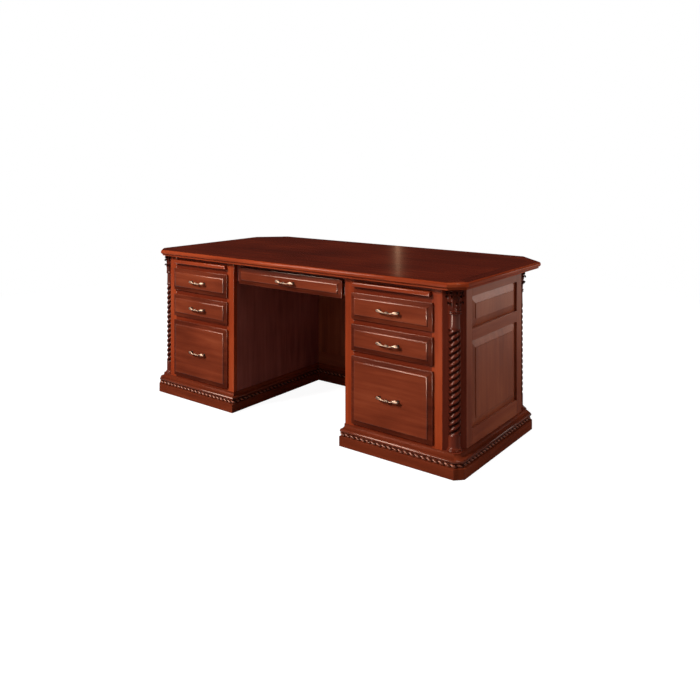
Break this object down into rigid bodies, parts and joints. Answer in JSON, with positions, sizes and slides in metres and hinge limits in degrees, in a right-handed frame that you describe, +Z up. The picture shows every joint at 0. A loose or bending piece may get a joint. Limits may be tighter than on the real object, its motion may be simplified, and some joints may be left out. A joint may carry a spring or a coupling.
{
  "type": "executive desk",
  "caption": "Double-pedestal executive desk with clipped moulded top, rope-carved corner columns, raised-panel drawers, writing boards and a kneehole drawer.",
  "frame": {"origin": "on the floor under the middle of the desk's overall box", "axes": "+X along the desk's width, +Y to the visitor's side, +Z up; the drawers face -Y"},
  "size_m": [1.92, 0.967, 0.787],
  "materials": {
    "cherry_wood": "glossy cherry stain",
    "cherry_top": "glossy dark cherry stain",
    "drawer_wood": "clear satin lacquer",
    "antique_brass": "antiqued, polished on the high spots",
    "slide_steel": "zinc plated",
    "black_nylon": "matte"
  },
  "bodies": {
    "case": {"back_frame": "cherry_wood", "back_panels": "cherry_wood", "base_cap_moulding": "cherry_wood", "base_plinth": "cherry_wood", "base_rope_moulding": "cherry_wood", "cabinet_slide_members": "slide_steel", "centre_drawer_hangers": "drawer_wood", "column_blocks": "cherry_wood", "corner_boards": "cherry_wood", "corner_glue_blocks": "drawer_wood", "desk_top": "cherry_top", "floor_glides": "black_nylon", "kneehole_rail": "cherry_wood", "kneehole_sides": "cherry_wood", "left_columns": "cherry_wood", "left_end_frame": "cherry_wood", "left_end_panels": "cherry_wood", "left_face_frame": "cherry_wood", "pedestal_bottoms": "drawer_wood", "pedestal_partitions": "drawer_wood", "right_columns": "cherry_wood", "right_end_frame": "cherry_wood", "right_end_panels": "cherry_wood", "right_face_frame": "cherry_wood", "slide_rails": "drawer_wood", "top_brackets": "slide_steel", "top_edge_moulding": "cherry_top", "writing_board_guides": "drawer_wood"},
    "right_file_drawer": {"right_file_drawer_front": "cherry_wood", "right_file_drawer_box": "drawer_wood", "right_file_drawer_pull": "antique_brass", "right_file_drawer_slides": "slide_steel"},
    "right_middle_drawer": {"right_middle_drawer_front": "cherry_wood", "right_middle_drawer_box": "drawer_wood", "right_middle_drawer_pull": "antique_brass", "right_middle_drawer_slides": "slide_steel"},
    "right_top_drawer": {"right_top_drawer_front": "cherry_wood", "right_top_drawer_box": "drawer_wood", "right_top_drawer_pull": "antique_brass", "right_top_drawer_slides": "slide_steel"},
    "right_file_intermediates": {"right_file_drawer_intermediates": "slide_steel"},
    "right_board": {"right_writing_board": "cherry_wood"},
    "left_file_drawer": {"left_file_drawer_front": "cherry_wood", "left_file_drawer_box": "drawer_wood", "left_file_drawer_pull": "antique_brass", "left_file_drawer_slides": "slide_steel"},
    "left_middle_drawer": {"left_middle_drawer_front": "cherry_wood", "left_middle_drawer_box": "drawer_wood", "left_middle_drawer_pull": "antique_brass", "left_middle_drawer_slides": "slide_steel"},
    "left_top_drawer": {"left_top_drawer_front": "cherry_wood", "left_top_drawer_box": "drawer_wood", "left_top_drawer_pull": "antique_brass", "left_top_drawer_slides": "slide_steel"},
    "left_file_intermediates": {"left_file_drawer_intermediates": "slide_steel"},
    "left_board": {"left_writing_board": "cherry_wood"},
    "centre_drawer": {"centre_drawer_front": "cherry_wood", "centre_drawer_box": "drawer_wood", "centre_drawer_pull": "antique_brass", "centre_drawer_slides": "slide_steel"}
  },
  "joints": [
    {"name": "right_file_drawer_slide", "type": "slide", "parent": "case", "child": "right_file_drawer", "axis": [0, -1, 0], "range_m": [0, 0.48]},
    {"name": "right_file_intermediates_slide", "type": "slide", "parent": "case", "child": "right_file_intermediates", "axis": [0, -1, 0], "range_m": [0, 0.24]},
    {"name": "right_middle_drawer_slide", "type": "slide", "parent": "case", "child": "right_middle_drawer", "axis": [0, -1, 0], "range_m": [0, 0.375]},
    {"name": "right_top_drawer_slide", "type": "slide", "parent": "case", "child": "right_top_drawer", "axis": [0, -1, 0], "range_m": [0, 0.375]},
    {"name": "right_writing_board_slide", "type": "slide", "parent": "case", "child": "right_board", "axis": [0, -1, 0], "range_m": [0, 0.33]},
    {"name": "left_file_drawer_slide", "type": "slide", "parent": "case", "child": "left_file_drawer", "axis": [0, -1, 0], "range_m": [0, 0.48]},
    {"name": "left_file_intermediates_slide", "type": "slide", "parent": "case", "child": "left_file_intermediates", "axis": [0, -1, 0], "range_m": [0, 0.24]},
    {"name": "left_middle_drawer_slide", "type": "slide", "parent": "case", "child": "left_middle_drawer", "axis": [0, -1, 0], "range_m": [0, 0.375]},
    {"name": "left_top_drawer_slide", "type": "slide", "parent": "case", "child": "left_top_drawer", "axis": [0, -1, 0], "range_m": [0, 0.375]},
    {"name": "left_writing_board_slide", "type": "slide", "parent": "case", "child": "left_board", "axis": [0, -1, 0], "range_m": [0, 0.33]},
    {"name": "centre_drawer_slide", "type": "slide", "parent": "case", "child": "centre_drawer", "axis": [0, -1, 0], "range_m": [0, 0.3]}
  ],
  "couplings": [
    {"joint": "right_file_intermediates_slide", "follows": "right_file_drawer_slide", "ratio": 0.5},
    {"joint": "left_file_intermediates_slide", "follows": "left_file_drawer_slide", "ratio": 0.5}
  ]
}
